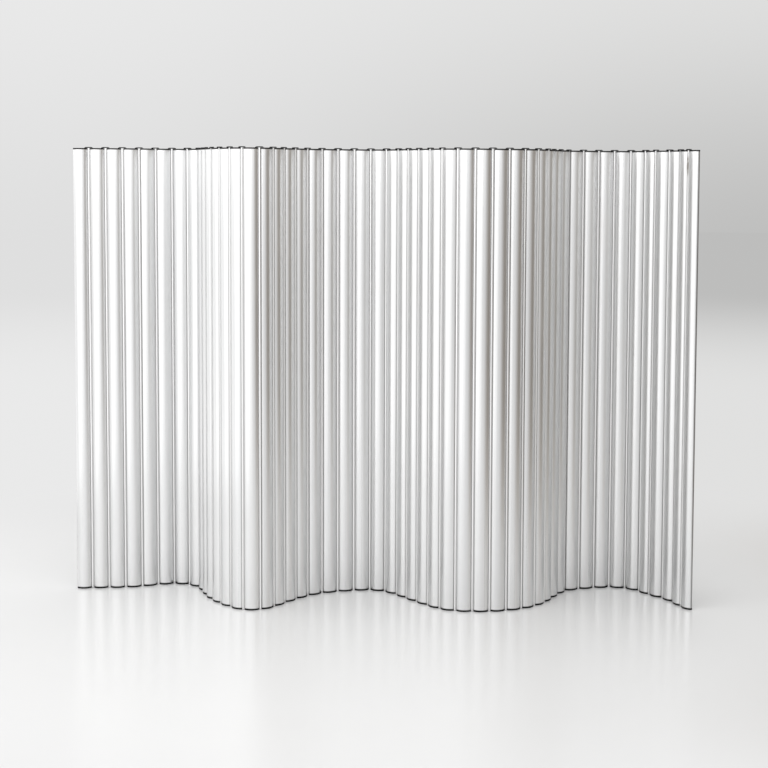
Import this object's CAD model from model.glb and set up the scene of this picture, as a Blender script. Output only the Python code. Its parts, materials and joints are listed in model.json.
import json
import math

import bpy
import numpy as np
from mathutils import Euler, Matrix, Vector
from mathutils.geometry import tessellate_polygon


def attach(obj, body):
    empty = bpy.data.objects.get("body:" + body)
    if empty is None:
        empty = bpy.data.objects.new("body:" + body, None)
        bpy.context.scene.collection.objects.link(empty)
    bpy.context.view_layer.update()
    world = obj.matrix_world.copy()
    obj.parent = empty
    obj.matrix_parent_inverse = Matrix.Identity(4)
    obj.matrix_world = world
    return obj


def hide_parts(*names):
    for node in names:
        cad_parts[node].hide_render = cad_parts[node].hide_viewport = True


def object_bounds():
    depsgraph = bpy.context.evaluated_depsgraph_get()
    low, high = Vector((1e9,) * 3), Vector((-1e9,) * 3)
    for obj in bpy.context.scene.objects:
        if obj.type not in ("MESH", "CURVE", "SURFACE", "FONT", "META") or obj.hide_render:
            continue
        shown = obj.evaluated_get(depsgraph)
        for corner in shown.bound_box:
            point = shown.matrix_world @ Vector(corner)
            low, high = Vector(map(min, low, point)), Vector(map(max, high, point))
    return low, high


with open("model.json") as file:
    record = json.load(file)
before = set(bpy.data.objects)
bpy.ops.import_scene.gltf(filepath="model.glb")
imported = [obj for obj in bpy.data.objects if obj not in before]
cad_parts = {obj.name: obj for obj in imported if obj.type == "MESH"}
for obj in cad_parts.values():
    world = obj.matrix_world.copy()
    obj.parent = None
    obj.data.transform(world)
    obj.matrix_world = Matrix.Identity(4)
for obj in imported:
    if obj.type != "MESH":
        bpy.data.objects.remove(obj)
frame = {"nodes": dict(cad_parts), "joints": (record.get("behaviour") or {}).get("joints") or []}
cad_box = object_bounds()

# Where the slats stand. Every slat hangs between two hinge lines, which are the frame's joints. The
# end slats have a hinge on one side only, so their outer edges lie as far past the middle of the
# sole as the hinge lies before it.
mm = 0.001
floor_touch = 0.1 * mm
slat_count = len(frame["joints"]) + 1
root = (slat_count + 1) // 2
slat_names = [f"slat_{n:02d}" for n in range(1, slat_count + 1)]


def sole_middle(node):
    """Middle of the lowest face of a node, which stands on the floor."""
    mesh = frame["nodes"][node].data
    places = np.empty(3 * len(mesh.vertices))
    mesh.vertices.foreach_get("co", places)
    places = places.reshape(-1, 3)
    sole = places[places[:, 2] < floor_touch, :2]
    return (sole.min(axis=0) + sole.max(axis=0)) / 2


inner_lines = np.array([joint["pos_m"][:2] for joint in frame["joints"]])
hinge_lines = np.vstack([
    2 * sole_middle(slat_names[0]) - inner_lines[0],
    inner_lines,
    2 * sole_middle(slat_names[-1]) - inner_lines[-1],
])
slat_middles = (hinge_lines[:-1] + hinge_lines[1:]) / 2
steps = np.diff(hinge_lines, axis=0)
slat_headings = np.arctan2(steps[:, 1], steps[:, 0])
pitch = float(np.median(np.hypot(steps[:, 0], steps[:, 1])))


def stand(points, n):
    """Points of slat n in the frame: the slat's own points turned to its heading and moved to its
    middle."""
    c, s = math.cos(slat_headings[n - 1]), math.sin(slat_headings[n - 1])
    turned = points[:, :2] @ np.array([[c, s], [-s, c]])
    return np.column_stack([turned + slat_middles[n - 1], points[:, 2]])


# Slats. Each is a hollow aluminium extrusion with an oval section and a T-slot down each edge, sawn
# square at both ends and satin anodised in its natural colour. The section's four arcs run into
# each other, and the die has left faint lines along its whole length.
slat_w = 52 * mm
slat_t = 28 * mm
edge_r = 7 * mm
slat_wall = 1.2 * mm
slot_lip = 1.4 * mm
slot_d = 2.6 * mm
slot_w = 6.4 * mm
mouth_w = 1.8 * mm
mouth_r = 0.3 * mm
saw_ease = 0.15 * mm
cap_t = 3.5 * mm
base_t = 5 * mm
seat_gap = 0.1 * mm
bridge_t = 3.4 * mm
bridge_clear = 0.6 * mm
smooth_under = math.radians(32)
edge_points, face_points, hollow_points, corner_points = 10, 22, 33, 4

edge_x = slat_w / 2 - edge_r
face_r = (edge_x**2 + (slat_t / 2) ** 2 - edge_r**2) / (slat_t - 2 * edge_r)
face_y = face_r - slat_t / 2
arc_join = math.atan2(face_y, edge_x)
slot_x = slat_w / 2 - slot_lip - slot_d
void_x = slot_x - slot_lip
top_z = cad_box[1].z - bridge_t - bridge_clear
tube_z0 = base_t + seat_gap
tube_z1 = top_z - cap_t - seat_gap
mouth_start = math.asin((mouth_w / 2 + mouth_r) / edge_r)


def oval(normals, inset=0.0):
    """Points of the oval at these angles of the outward normal: the middle of the arc that has the
    angle, plus its radius along the normal. Face arcs lie above and below, edge arcs at the sides."""
    c, s = np.cos(normals), np.sin(normals)
    on_face = np.abs(s) * edge_x > np.abs(c) * face_y
    radius = np.where(on_face, face_r, edge_r) - inset
    x = np.where(on_face, 0.0, np.sign(c) * edge_x) + radius * c
    y = np.where(on_face, -np.sign(s) * face_y, 0.0) + radius * s
    return np.column_stack([x, y])


def upper_normals(start):
    """Angles of the normal over the upper half, from start on the right edge to the left one."""
    edge = np.linspace(start, arc_join, edge_points, endpoint=False)
    face = np.linspace(arc_join, math.pi / 2, face_points, endpoint=False)
    quarter = np.concatenate([edge, face])
    return np.concatenate([quarter, [math.pi / 2], math.pi - quarter[::-1]])


def left_slot():
    """The T-slot in the left edge, from the upper lip of its mouth round to the lower one: an eased
    corner, the mouth, and the wider slot behind it."""
    ease = np.linspace(math.pi, 1.5 * math.pi, corner_points)[1:]
    corner_x = oval(np.array([math.pi - mouth_start]))[0, 0] + mouth_r
    corner_y = mouth_w / 2 + mouth_r
    corner = np.column_stack([corner_x + mouth_r * np.cos(ease), corner_y + mouth_r * np.sin(ease)])
    mouth_end = -slot_x - slot_d
    bends = [[mouth_end, mouth_w / 2], [mouth_end, slot_w / 2], [-slot_x, slot_w / 2]]
    upper = np.vstack([corner, bends])
    return np.vstack([upper, upper[::-1] * [1, -1]])


def slotted_oval(inset=0.0):
    """Outline of the slat, anticlockwise: upper half, left slot, and the same turned half round."""
    half = np.vstack([oval(upper_normals(mouth_start), inset), left_slot()])
    return np.vstack([half, -half])


def hollow(gap=0.0):
    """Outline of the slat's hollow, anticlockwise: both face arcs drawn in by the wall and a gap,
    cut off square before the slots."""
    radius = face_r - slat_wall - gap
    side = math.acos((void_x - gap) / radius)
    turn = np.linspace(side, math.pi - side, hollow_points)
    arc = np.column_stack([radius * np.cos(turn), radius * np.sin(turn) - face_y])
    return np.vstack([arc, -arc])


def solid(levels):
    """A closed solid lofted through levels, each a height and its outlines, the outer one
    anticlockwise and holes clockwise. Sides join each outline to the next level's, and triangles
    close both ends. Gives the points and the faces."""
    sizes = [len(outline) for outline in levels[0][1]]
    ring = sum(sizes)
    points = np.vstack([
        np.column_stack([np.vstack(outlines), np.full(ring, z)]) for z, outlines in levels
    ])
    faces = []
    for start, size in zip(np.cumsum([0] + sizes[:-1]), sizes):
        here = start + np.arange(size)
        ahead = start + (np.arange(size) + 1) % size
        for low in ring * np.arange(len(levels) - 1):
            high = low + ring
            faces += np.column_stack([here + low, ahead + low, ahead + high, here + high]).tolist()
    rims = [[Vector((x, y, 0)) for x, y in outline] for outline in levels[0][1]]
    ends = np.array(tessellate_polygon(rims))
    a, b, c = (points[ends[:, k], :2] for k in range(3))
    clockwise = (b - a)[:, 0] * (c - a)[:, 1] < (b - a)[:, 1] * (c - a)[:, 0]
    ends[clockwise] = ends[clockwise][:, ::-1]
    faces += ends[:, ::-1].tolist() + (ends + ring * (len(levels) - 1)).tolist()
    return points, faces


def eased(outline_at, z0, z1, ease, steps=3):
    """Levels of a solid whose ends are rounded off: the outline is drawn in by a quarter round of
    this radius at both ends. outline_at gives the outlines for an inset."""
    turn = np.linspace(0, math.pi / 2, steps + 1)
    rise, inset = ease * (1 - np.cos(turn)), ease * (1 - np.sin(turn))
    low = [(z0 + r, outline_at(i)) for r, i in zip(rise, inset)]
    return low + [(z1 - r, outline_at(i)) for r, i in zip(rise[::-1], inset[::-1])]


def soft_step(values, start, end):
    """0 at the start, 1 at the end, along 3t^2 - 2t^3 in between."""
    t = np.clip((values - start) / (end - start), 0, 1)
    return t * t * (3 - 2 * t)


def make(name, shape, n, material, joint_dirt=None):
    """One piece of slat n as an object of its own: it stands in its place, rides on the slat's body
    and replaces the slat's CAD node. joint_dirt says how dirty each of its points is."""
    points, faces = shape
    mesh = bpy.data.meshes.new(name)
    mesh.from_pydata(stand(points, n).tolist(), [], faces)
    if joint_dirt is not None:
        mesh.attributes.new("joint_dirt", "FLOAT", "POINT").data.foreach_set("value", joint_dirt)
    mesh.shade_smooth()
    mesh.set_sharp_from_angle(angle=smooth_under)
    mesh.materials.append(material)
    piece = bpy.data.objects.new(name, mesh)
    bpy.context.scene.collection.objects.link(piece)
    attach(piece, slat_names[n - 1])
    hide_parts(name if n == root else slat_names[n - 1])
    return piece


def feed(tree, sockets, values):
    """Links each value that is a socket to its input, and writes each plain number into its own."""
    for socket, value in zip(sockets, values):
        if isinstance(value, bpy.types.NodeSocket):
            tree.links.new(value, socket)
        elif value is not None:
            socket.default_value = value


def calc(tree, operation, *values, clamp=False):
    """A Math node's result."""
    node = tree.nodes.new("ShaderNodeMath")
    node.operation, node.use_clamp = operation, clamp
    feed(tree, node.inputs, values)
    return node.outputs[0]


def ramp(tree, value, low, high, to_low=0.0, to_high=1.0):
    """A value carried from one range to another, with soft ends."""
    node = tree.nodes.new("ShaderNodeMapRange")
    node.interpolation_type = "SMOOTHSTEP"
    feed(tree, node.inputs, (value, low, high, to_low, to_high))
    return node.outputs[0]


def blended(tree, share, first, second):
    """Colour between two colours."""
    node = tree.nodes.new("ShaderNodeMix")
    node.data_type = "RGBA"
    feed(tree, [node.inputs["Factor"], node.inputs["A"], node.inputs["B"]], (share, first, second))
    return node.outputs["Result"]


def pattern(tree, stretch, detail=2.0, rough=0.5):
    """Noise on Object coordinates. stretch says how many of its waves there are in a metre along
    each axis."""
    place = tree.nodes.new("ShaderNodeTexCoord").outputs["Object"]
    spread = tree.nodes.new("ShaderNodeCombineXYZ")
    feed(tree, spread.inputs, stretch)
    scaled = tree.nodes.new("ShaderNodeVectorMath")
    scaled.operation = "MULTIPLY"
    feed(tree, scaled.inputs, (place, spread.outputs[0]))
    noise = tree.nodes.new("ShaderNodeTexNoise")
    tree.links.new(scaled.outputs[0], noise.inputs["Vector"])
    feed(tree, [noise.inputs[key] for key in ("Scale", "Detail", "Roughness")], (1.0, detail, rough))
    return noise.outputs[0]


def height(tree):
    """Height above the floor, from Object coordinates."""
    split = tree.nodes.new("ShaderNodeSeparateXYZ")
    tree.links.new(tree.nodes.new("ShaderNodeTexCoord").outputs["Object"], split.inputs[0])
    return split.outputs[2]


def effect(name, inputs, result, build):
    """A node group for an effect that several finishes share: its inputs with their usual values,
    and one output."""
    tree = bpy.data.node_groups.new(name, "ShaderNodeTree")
    for label, value in inputs.items():
        socket = tree.interface.new_socket(label, in_out="INPUT", socket_type="NodeSocketFloat")
        socket.default_value = value
    tree.interface.new_socket(result, in_out="OUTPUT", socket_type="NodeSocketFloat")
    source = tree.nodes.new("NodeGroupInput").outputs
    out = tree.nodes.new("NodeGroupOutput")
    tree.links.new(build(tree, source), out.inputs[0])
    return tree


def use(tree, group, **values):
    """An effect placed in a material with its own values."""
    node = tree.nodes.new("ShaderNodeGroup")
    node.node_tree = group
    for label, value in values.items():
        node.inputs[label].default_value = value
    return node.outputs[0]


old_grease = (0.05, 0.047, 0.045, 1)


def darkened(tree, colour, most):
    """A colour that goes towards the grey of old grease, up to a share, where the piece is dirty."""
    dirt = tree.nodes.new("ShaderNodeAttribute")
    dirt.attribute_name = "joint_dirt"
    share = calc(tree, "MULTIPLY", dirt.outputs["Fac"], most)
    return blended(tree, share, colour, old_grease)


def finish_of(name, roughness, metallic):
    """A new material with its shader, its node tree and its shader's inputs."""
    material = bpy.data.materials.new(name)
    material.use_nodes = True
    sockets = material.node_tree.nodes["Principled BSDF"].inputs
    sockets["Roughness"].default_value = roughness
    sockets["Metallic"].default_value = metallic
    return material, material.node_tree, sockets


def raised(tree, level, depth, strength=1.0):
    """Normal of a surface whose height follows a value, up to a depth."""
    bump = tree.nodes.new("ShaderNodeBump")
    keys = ("Strength", "Distance", "Height")
    feed(tree, [bump.inputs[key] for key in keys], (strength, depth, level))
    return bump.outputs[0]


# Faint lines along an extrusion, where the die dragged. Across is their number in a metre.
die_lines = effect(
    "die_lines", {"Across": 500.0, "Along": 0.2}, "Line",
    lambda tree, given: pattern(
        tree, (given["Across"], given["Across"], given["Along"]), detail=4.0, rough=0.65))

# Tone of one extrusion against its neighbours: the same from end to end, another on the next slat
batch_tone = effect(
    "batch_tone", {"Across": 14.0}, "Tone",
    lambda tree, given: pattern(tree, (given["Across"], given["Across"], 0.0), detail=1.0))

hand_fade_in = 0.3
hand_fade_out = 0.25
hand_cover = 0.25


def hand_height(tree, given):
    """Patches at the height where hands hold the screen. They fade in above Low and out above High."""
    patch = ramp(tree, pattern(tree, (9.0, 9.0, 5.0), detail=3.0, rough=0.6), 0.52, 0.72)
    rising = ramp(tree, height(tree), given["Low"], calc(tree, "ADD", given["Low"], hand_fade_in))
    gone = calc(tree, "ADD", given["High"], hand_fade_out)
    falling = ramp(tree, height(tree), given["High"], gone, to_low=1.0, to_high=0.0)
    return calc(tree, "MULTIPLY", patch, calc(tree, "MULTIPLY", rising, falling))


hand_marks = effect("hand_marks", {"Low": 0.7, "High": 1.3}, "Mark", hand_height)


def dried_run(tree, given):
    """A run of dried fluid round its place: strongest there, fading out along each axis, and broken
    up by noise."""
    where = tree.nodes.new("ShaderNodeTexCoord").outputs["Object"]
    mapping = tree.nodes.new("ShaderNodeMapping")
    mapping.vector_type = "TEXTURE"
    feed(tree, [mapping.inputs[key] for key in ("Vector", "Location", "Scale")],
         (where, stain_place, stain_reach))
    distance = tree.nodes.new("ShaderNodeVectorMath")
    distance.operation = "LENGTH"
    tree.links.new(mapping.outputs[0], distance.inputs[0])
    near = ramp(tree, distance.outputs["Value"], 0.45, 1.0, to_low=1.0, to_high=0.0)
    broken = ramp(tree, pattern(tree, (300, 300, given["Breaks"]), detail=3.0), 0.3, 0.5)
    return calc(tree, "MULTIPLY", near, broken)


# Brown run down the hinge line between the last two slats, near the top
stain_slat = slat_count - 1
stain_front = 6 * mm
stain_z = 1592 * mm
stain_place = stand(np.array([[pitch / 2, -stain_front, stain_z]]), stain_slat)[0].tolist()
stain_reach = (9 * mm, 9 * mm, 50 * mm)
stain_cover = 0.7
stain_brown = (0.14, 0.11, 0.07, 1)
stain = effect("dried_run", {"Breaks": 60.0}, "Stain", dried_run)

line_depth = 0.002 * mm
anodised_dark = (0.735, 0.74, 0.745, 1)
anodised_pale = (0.785, 0.785, 0.78, 1)
anodised_handled = (0.68, 0.67, 0.65, 1)


def satin_anodised():
    """Natural anodised aluminium: satin, with die lines, a tone of its own for each slat, hand
    marks, and the brown run."""
    material, tree, sockets = finish_of("anodised_aluminium", roughness=0.28, metallic=1.0)
    line, tone, mark = use(tree, die_lines), use(tree, batch_tone), use(tree, hand_marks)
    metal = blended(tree, tone, anodised_dark, anodised_pale)
    metal = blended(tree, calc(tree, "MULTIPLY", mark, hand_cover), metal, anodised_handled)
    brown = use(tree, stain)
    metal = blended(tree, calc(tree, "MULTIPLY", brown, stain_cover), metal, stain_brown)
    tree.links.new(darkened(tree, metal, most=0.85), sockets["Base Color"])
    rough = calc(tree, "ADD", 0.25, calc(tree, "MULTIPLY", line, 0.07))
    rough = calc(tree, "ADD", rough, calc(tree, "MULTIPLY", mark, 0.05))
    rough = calc(tree, "ADD", rough, calc(tree, "MULTIPLY", brown, 0.15))
    tree.links.new(rough, sockets["Roughness"])
    tree.links.new(raised(tree, line, line_depth), sockets["Normal"])
    return material


anodised = satin_anodised()

tube_levels = eased(lambda i: [slotted_oval(i), hollow()[::-1]], tube_z0, tube_z1, saw_ease, steps=1)

# Old grease lies in the gap at each hinge and in the seam beside each cap. Four more levels, two at
# each end, hold the seam's.
gap_dirt = 0.35
gap_clean, gap_foul = 6 * mm, 3 * mm
seam_clean, seam_foul = 2.8 * mm, 1 * mm
seam_z = (tube_z0 + seam_foul, tube_z0 + seam_clean, tube_z1 - seam_clean, tube_z1 - seam_foul)
seam_levels = [(z, tube_levels[1][1]) for z in seam_z]
tube_shape = solid(tube_levels[:2] + seam_levels + tube_levels[2:])
across, deep = np.abs(tube_shape[0][:, :2]).T
from_end = np.minimum(tube_shape[0][:, 2] - tube_z0, tube_z1 - tube_shape[0][:, 2])
tube_dirt = np.where(across > edge_x, gap_dirt * soft_step(deep, gap_clean, gap_foul), 0)
tube_dirt = np.maximum(tube_dirt, soft_step(from_end, seam_clean, seam_foul))
for n in range(1, slat_count + 1):
    make(f"{slat_names[n - 1]}_tube", tube_shape, n, anodised, tube_dirt)


# Hinge profiles. Each hinge is two narrow aluminium extrusions: a C-shaped knuckle whose flange slides
# into the slot of one slat, and a round bead whose flange slides into the next one's. The bead turns
# in the knuckle over the whole height of the screen.
knuckle_r = 4.3 * mm
bore_r = 3.0 * mm
bead_r = 2.95 * mm
lip_angle = math.radians(62)
slot_clear = 0.1 * mm
sole_t = 1.2 * mm
rub_clean, rub_foul = 2.6 * mm, 1.2 * mm
knuckle_points, bore_points, bead_points = 20, 32, 40
hinge_x = pitch / 2
neck_t = mouth_w - 2 * slot_clear
flange_x = hinge_x - slot_x - slot_clear
profile_z0 = sole_t + seat_gap
profile_z1 = top_z - bridge_clear


def arc(radius, start, end, count):
    """Points at even angles round the origin, from the start to the end."""
    turn = np.linspace(start, end, count)
    return radius * np.column_stack([np.cos(turn), np.sin(turn)])


def foot():
    """The neck and flange that hold a profile in its slot, from the neck's upper side round to its
    lower side, with the hinge line at the origin and the slat on the left."""
    flange_end = -flange_x + slot_d - 2 * slot_clear
    half_flange = slot_w / 2 - slot_clear
    upper = np.array([[flange_end, neck_t / 2], [flange_end, half_flange], [-flange_x, half_flange]])
    return np.vstack([upper, upper[::-1] * [1, -1]])


def knuckle_outline():
    """The C round the bead, from its upper lip over the back to its lower lip, and back inside."""
    neck = math.asin(neck_t / 2 / knuckle_r)
    outside = arc(knuckle_r, lip_angle, math.pi - neck, knuckle_points)
    inside = arc(bore_r, 2 * math.pi - lip_angle, lip_angle, bore_points)
    return np.vstack([outside, foot(), outside[::-1] * [1, -1], inside])


def bead_outline():
    """The bead, from the neck's lower side round the front to its upper side, and its foot."""
    neck = math.asin(neck_t / 2 / bead_r)
    return np.vstack([arc(bead_r, neck - math.pi, math.pi - neck, bead_points), foot()])


drawn_dark = (0.84, 0.84, 0.835, 1)
drawn_pale = (0.89, 0.89, 0.89, 1)


def bright_drawn():
    """The hinge's aluminium: brighter and smoother than the slats, with finer die lines, and rubbed
    a little duller where the knuckle and the bead run on each other."""
    material, tree, sockets = finish_of("hinge_aluminium", roughness=0.3, metallic=1.0)
    line, tone = use(tree, die_lines, Across=900.0, Along=0.3), use(tree, batch_tone, Across=20.0)
    metal = blended(tree, tone, drawn_dark, drawn_pale)
    brown = use(tree, stain)
    metal = blended(tree, calc(tree, "MULTIPLY", brown, stain_cover), metal, stain_brown)
    tree.links.new(darkened(tree, metal, most=0.3), sockets["Base Color"])
    tree.links.new(calc(tree, "ADD", 0.28, calc(tree, "MULTIPLY", line, 0.1)), sockets["Roughness"])
    tree.links.new(raised(tree, line, line_depth), sockets["Normal"])
    return material


hinge_metal = bright_drawn()

socket_shape = solid([(z, [knuckle_outline() + [hinge_x, 0]]) for z in (profile_z0, profile_z1)])
bead_shape = solid([(z, [-bead_outline() - [hinge_x, 0]]) for z in (profile_z0, profile_z1)])
socket_dirt, bead_dirt = (
    soft_step(np.abs(points[:, 1]), rub_clean, rub_foul) for points, _ in (socket_shape, bead_shape))
for n in range(1, slat_count + 1):
    name = slat_names[n - 1]
    if n < slat_count:
        make(f"{name}_hinge_socket", socket_shape, n, hinge_metal, socket_dirt)
    if n > 1:
        make(f"{name}_hinge_bead", bead_shape, n, hinge_metal, bead_dirt)


# Caps. Black moulded plates close both ends of every slat, each held by a skirt that plugs into it.
# The slots run on through the plates. At the bottom a thin sole closes them and carries the hinge
# profiles, and at the top a bevelled bridge reaches over the hinge to the next slat.
cap_ease = 0.35 * mm
plug_h = 16 * mm
plug_wall = 1.8 * mm
plug_clear = 0.15 * mm
bridge_l = 31 * mm
bridge_top_l = 20 * mm
bridge_w = 11 * mm
bridge_top_w = 8 * mm
bridge_edge = 0.8 * mm
arris_r = 0.3 * mm
arris_over = math.radians(20)
bar_end_points = 17
pad_share = 0.98
pad_sink = 0.5 * mm
spare = 1 * mm
grain_depth = 0.03 * mm
plate_z0 = top_z - cap_t


def joined(shape, others, operation, arris=0.0):
    """A shape with others added to it, cut from it or shared with it, by a Boolean that keeps it
    closed. Its edges are then rounded over by the arris, where one is given."""
    objects = []
    for points, faces in [shape, *others]:
        mesh = bpy.data.meshes.new("part")
        mesh.from_pydata(points.tolist(), [], faces)
        objects.append(bpy.data.objects.new("part", mesh))
        bpy.context.scene.collection.objects.link(objects[-1])
    body = objects[0]
    for other in objects[1:]:
        modifier = body.modifiers.new("part", "BOOLEAN")
        modifier.object, modifier.operation, modifier.solver = other, operation, "MANIFOLD"
    if arris:
        bevel = body.modifiers.new("arris", "BEVEL")
        bevel.width, bevel.segments, bevel.angle_limit = arris, 3, arris_over
    result = body.evaluated_get(bpy.context.evaluated_depsgraph_get()).to_mesh()
    points = np.array([v.co[:] for v in result.vertices])
    faces = [list(face.vertices) for face in result.polygons]
    for used in objects:
        bpy.data.objects.remove(used)
    return points, faces


def full_oval(inset=0.0):
    """Outline of a cap's plate: the slat's oval without its slots."""
    upper = oval(upper_normals(0)[:-1], inset)
    return [np.vstack([upper, -upper])]


def edge_slots(z0, z1):
    """Two solids as wide as the slots, which run out past the edges of a cap. They leave out the
    eased corners of the slot's mouth."""
    corner = corner_points - 1
    inner = left_slot()[corner:-corner]
    past = inner[0] - [spare + slot_lip, 0]
    outline = np.vstack([past, inner, past * [1, -1]])[::-1]
    return [solid([(z, [side * outline]) for z in (z0, z1)]) for side in (1, -1)]


def skirt(z0, z1):
    """The wall of the plug that sits in the slat's hollow."""
    return solid([(z, [hollow(plug_clear), hollow(plug_clear + plug_wall)[::-1]]) for z in (z0, z1)])


def round_bar():
    """Outline of the bridge: two half rounds, one at each end."""
    end = arc(bridge_w / 2, -math.pi / 2, math.pi / 2, bar_end_points)
    end += [(bridge_l - bridge_w) / 2, 0]
    return np.vstack([end, -end])


def sloped(foot, top, depth, across):
    """A bar whose section is upright up to the bridge's edge and then slopes in from the foot to the
    top. across says which of its axes, x or y, the section lies along."""
    run = (foot - top) / 2 / (bridge_t - bridge_edge)
    low = foot / 2 + run * bridge_edge
    levels = []
    for z, half in ((0, low), (bridge_t, top / 2)):
        side = np.array([[half, -depth / 2], [half, depth / 2]])
        corners = np.vstack([side, -side])
        levels.append((z, [corners if across == "x" else corners[::-1, ::-1]]))
    return solid(levels)


def bridge():
    """The bar over the hinge: its round-ended outline, with slopes at both ends and bevels along
    both sides, stood on its gap above the caps."""
    past = 2 * bridge_edge
    bar = solid([(z, [round_bar()]) for z in (0, bridge_t)])
    ends = sloped(bridge_l, bridge_top_l, bridge_w + past, "x")
    sides = sloped(bridge_w, bridge_top_w, bridge_l + past, "y")
    points, faces = joined(bar, [ends, sides], "INTERSECT", arris_r)
    return points + [hinge_x, 0, top_z + bridge_clear], faces


def bridge_pad():
    """The half round that carries the bridge on its own cap: a little smaller than the bridge's end,
    and sunk a little into both."""
    half = pad_share * arc(bridge_w / 2, math.pi / 2, 1.5 * math.pi, bar_end_points)
    outline = half + [hinge_x - (bridge_l - bridge_w) / 2, 0]
    return solid([(z, [outline]) for z in (top_z - pad_sink, top_z + bridge_clear + pad_sink)])


plastic_black = (0.004, 0.004, 0.0045, 1)
dust_grey = (0.3, 0.29, 0.27, 1)
dust_cover = 0.12
scuff_grey = (0.06, 0.06, 0.06, 1)
scuff_cover = 0.3
scuff_h = 2 * mm


def moulded_black():
    """Black moulded plastic with a fine spark grain, worn pale and dull along the foot of the sole,
    and with dust where it faces up."""
    material, tree, sockets = finish_of("black_plastic", roughness=0.5, metallic=0.0)
    sockets["Specular IOR Level"].default_value = 0.15
    grain = pattern(tree, (4000, 4000, 4000))
    facing = tree.nodes.new("ShaderNodeSeparateXYZ")
    tree.links.new(tree.nodes.new("ShaderNodeNewGeometry").outputs["Normal"], facing.inputs[0])
    upward = ramp(tree, facing.outputs[2], 0.7, 0.98)
    specks = ramp(tree, pattern(tree, (160, 160, 160), detail=4.0, rough=0.7), 0.4, 0.75)
    dust = calc(tree, "MULTIPLY", upward, specks)
    at_foot = ramp(tree, height(tree), 0.0, scuff_h, to_low=1.0, to_high=0.0)
    rubs = ramp(tree, pattern(tree, (220, 220, 400), detail=4.0, rough=0.7), 0.5, 0.68)
    scuff = calc(tree, "MULTIPLY", at_foot, rubs)
    colour = blended(tree, calc(tree, "MULTIPLY", dust, dust_cover), plastic_black, dust_grey)
    colour = blended(tree, calc(tree, "MULTIPLY", scuff, scuff_cover), colour, scuff_grey)
    tree.links.new(colour, sockets["Base Color"])
    rough = calc(tree, "ADD", 0.52, calc(tree, "MULTIPLY", grain, 0.1))
    rough = calc(tree, "ADD", rough, calc(tree, "MULTIPLY", dust, 0.3), clamp=True)
    tree.links.new(rough, sockets["Roughness"])
    tree.links.new(raised(tree, grain, grain_depth, strength=0.6), sockets["Normal"])
    return material


black = moulded_black()

base_plate = solid(eased(full_oval, 0, base_t, cap_ease))
bottom_shape = joined(base_plate, edge_slots(sole_t, base_t + spare), "DIFFERENCE")
bottom_shape = joined(bottom_shape, [skirt(base_t - spare, base_t + plug_h)], "UNION")
top_plate = solid(eased(full_oval, plate_z0, top_z, cap_ease))
top_plain = joined(top_plate, edge_slots(plate_z0 - spare, top_z + spare), "DIFFERENCE")
top_plain = joined(top_plain, [skirt(plate_z0 - plug_h, plate_z0 + spare)], "UNION")
top_bridged = joined(top_plain, [bridge_pad(), bridge()], "UNION")
for n in range(1, slat_count + 1):
    make(f"{slat_names[n - 1]}_bottom_cap", bottom_shape, n, black)
    top = top_bridged if n < slat_count else top_plain
    make(f"{slat_names[n - 1]}_top_cap", top, n, black)


# Studio. A pale floor runs out into a pale backdrop with no horizon between them. Tall soft panels
# stand on the left and in front, weak ones on the right, and a soft ceiling hangs over the screen.
floor_r = 40
floor_sides = 64
floor_tone = (0.59, 0.59, 0.59, 1)
lit_r, unlit_r = 1.3, 2.5
near_r, middle_r, far_r, horizon_r = 2.2, 5.0, 5.5, 16.0
ring_r = 2.6
panel_arc = 24
ceiling_z = 3.4
ceiling_w = 4.4
panels_low = 1.6


def backdrop_tone(tree, direction, low, up):
    """Tone of the backdrop towards a direction. Behind the screen it falls off from left to right,
    more so where low is 1, which is just under eye level. At the left and in front it is a plain
    pale grey, and on the right a dimmer and warmer one, both paler where up is 1. side and ahead
    are the direction's parts to the right and away from the camera."""
    unit = tree.nodes.new("ShaderNodeVectorMath")
    unit.operation = "NORMALIZE"
    tree.links.new(direction, unit.inputs[0])
    split = tree.nodes.new("ShaderNodeSeparateXYZ")
    tree.links.new(unit.outputs[0], split.inputs[0])
    side, ahead = split.outputs[0], split.outputs[1]
    rightward = ramp(tree, side, -0.26, 0.24)
    plain_back = blended(tree, rightward, (0.82, 0.82, 0.82, 1), (0.75, 0.75, 0.745, 1))
    low_back = blended(tree, rightward, (0.74, 0.74, 0.74, 1), (0.51, 0.51, 0.505, 1))
    back = blended(tree, low, plain_back, low_back)
    pale = blended(tree, up, (0.6, 0.6, 0.6, 1), (0.98, 0.98, 0.98, 1))
    dim = blended(tree, up, (0.2, 0.18, 0.155, 1), (0.64, 0.6, 0.55, 1))
    front = blended(tree, ramp(tree, side, 0.45, 0.95), pale, dim)
    return blended(tree, ramp(tree, ahead, 0.75, 0.1), back, front)


def floor_mesh(radius):
    """A flat disc."""
    ring = arc(radius, 0, 2 * math.pi, floor_sides + 1)[:-1]
    mesh = bpy.data.meshes.new("floor")
    mesh.from_pydata([(x, y, 0) for x, y in ring], [], [list(range(len(ring)))])
    return mesh


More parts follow.
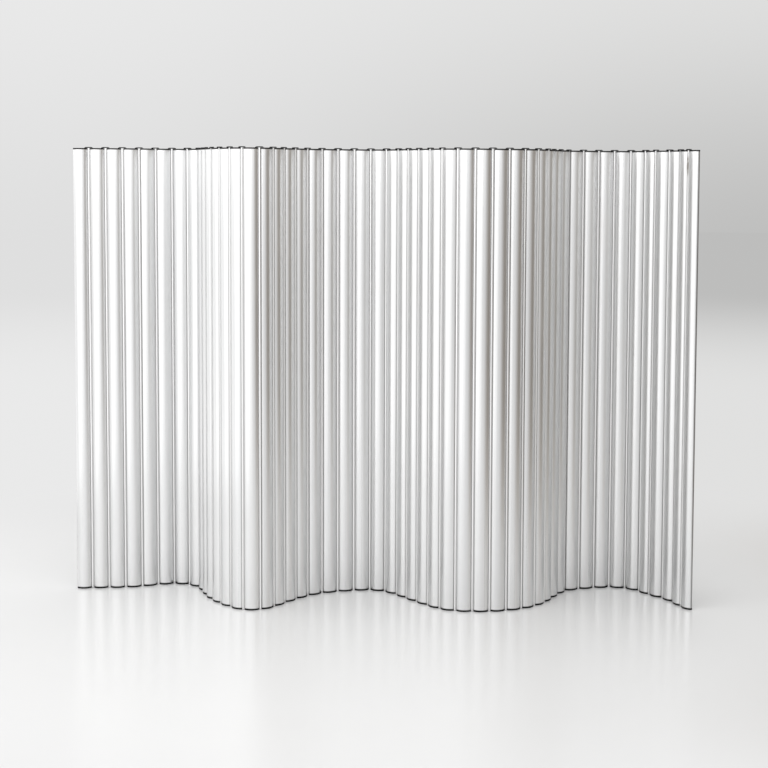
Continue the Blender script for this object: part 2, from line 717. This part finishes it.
def studio_floor():
    """Pale floor with a soft gloss, whose own tone gives way to the backdrop's further out."""
    material, tree, sockets = finish_of("studio_floor", roughness=0.2, metallic=0.0)
    sockets["Base Color"].default_value = floor_tone
    where = tree.nodes.new("ShaderNodeTexCoord").outputs["Object"]
    length = tree.nodes.new("ShaderNodeVectorMath")
    length.operation = "LENGTH"
    tree.links.new(where, length.inputs[0])
    glow = tree.nodes.new("ShaderNodeEmission")
    distance = length.outputs["Value"]
    low = ramp(tree, distance, far_r, horizon_r)
    near = ramp(tree, distance, middle_r, near_r, to_high=0.75)
    tree.links.new(backdrop_tone(tree, where, low, near), glow.inputs["Color"])
    mix = tree.nodes.new("ShaderNodeMixShader")
    shader = tree.nodes["Principled BSDF"]
    unlit = ramp(tree, distance, lit_r, unlit_r)
    feed(tree, mix.inputs, (unlit, shader.outputs[0], glow.outputs[0]))
    tree.links.new(mix.outputs[0], tree.nodes["Material Output"].inputs["Surface"])
    return material


def soft_panel(name, middle, width, height, facing, radiance, tint=(1, 1, 1)):
    """A flat lamp of even brightness, which the camera doesn't see."""
    lamp = bpy.data.lights.new(name, "AREA")
    lamp.shape, lamp.size, lamp.size_y = "RECTANGLE", width, height
    lamp.energy, lamp.color = radiance * math.pi * width * height, tint
    panel = bpy.data.objects.new(name, lamp)
    panel.location = middle
    panel.rotation_euler = Vector(facing).to_track_quat("-Z", "Y").to_euler()
    panel.visible_camera = False
    bpy.context.scene.collection.objects.link(panel)


def panel_wall(name, start, end, radiance, tint=(1, 1, 1), low=0.0):
    """Panels side by side round the ring, from one azimuth to another, in degrees, and from low to
    the ceiling."""
    count = math.ceil((end - start) / panel_arc)
    step = math.radians(end - start) / count
    for k in range(count):
        turn = math.radians(start) + (k + 0.5) * step
        out = Vector((math.cos(turn), math.sin(turn), 0))
        soft_panel(f"{name}_{k}", out * ring_r + Vector((0, 0, (low + ceiling_z) / 2)),
                   2 * ring_r * math.tan(step / 2), ceiling_z - low, -out, radiance, tint)


floor = bpy.data.objects.new("floor", floor_mesh(floor_r))
floor.data.materials.append(studio_floor())
bpy.context.scene.collection.objects.link(floor)

world = bpy.data.worlds.new("studio")
world.use_nodes = True
sky = world.node_tree
outward = sky.nodes.new("ShaderNodeTexCoord").outputs["Generated"]
rise = sky.nodes.new("ShaderNodeSeparateXYZ")
sky.links.new(outward, rise.inputs[0])
low = ramp(sky, rise.outputs[2], 0.15, -0.06)
up = ramp(sky, rise.outputs[2], 0.0, 0.2)
sky.links.new(backdrop_tone(sky, outward, low, up), sky.nodes["Background"].inputs["Color"])
bpy.context.scene.world = world

panel_wall("left_wall", 146, 180, 0.75)
panel_wall("left_corner", 180, 202.5, 0.45)
panel_wall("front_left", 202.5, 240, 0.84)
panel_wall("front", 240, 270, 0.6)
panel_wall("front_right", 270, 300, 0.2)
panel_wall("right_wall", 300, 360, 0.05, (1, 0.88, 0.76))
panel_wall("upper_front", 180, 300, 0.4, low=panels_low)
soft_panel("ceiling", (0, 0, ceiling_z), ceiling_w, ceiling_w, (0, 0, -1), 1.2)

# Camera. The photograph was taken at head height from five and a half metres, looking a little
# down, and its frame is cut off centre.
photo_side = 768
focal_px = 1520.3
axis_x_px = 424.0
axis_y_px = 285.4
camera_place = (0.1624, -5.5101, 1.5423)
camera_down = math.radians(4.04)
camera_roll = math.radians(0.3)
sensor = 36
sight = 200

camera = bpy.data.objects.new("camera", bpy.data.cameras.new("camera"))
camera.data.sensor_width = sensor
camera.data.lens = focal_px / photo_side * sensor
camera.data.shift_x = (photo_side / 2 - axis_x_px) / photo_side
camera.data.shift_y = (axis_y_px - photo_side / 2) / photo_side
camera.location = camera_place
tilt = Euler((math.pi / 2 - camera_down, 0, 0)).to_matrix()
camera.rotation_euler = (tilt @ Matrix.Rotation(camera_roll, 3, "Z")).to_euler()
camera.data.clip_end = sight
bpy.context.scene.collection.objects.link(camera)
bpy.context.scene.camera = camera
bpy.context.scene.view_settings.view_transform = "Standard"
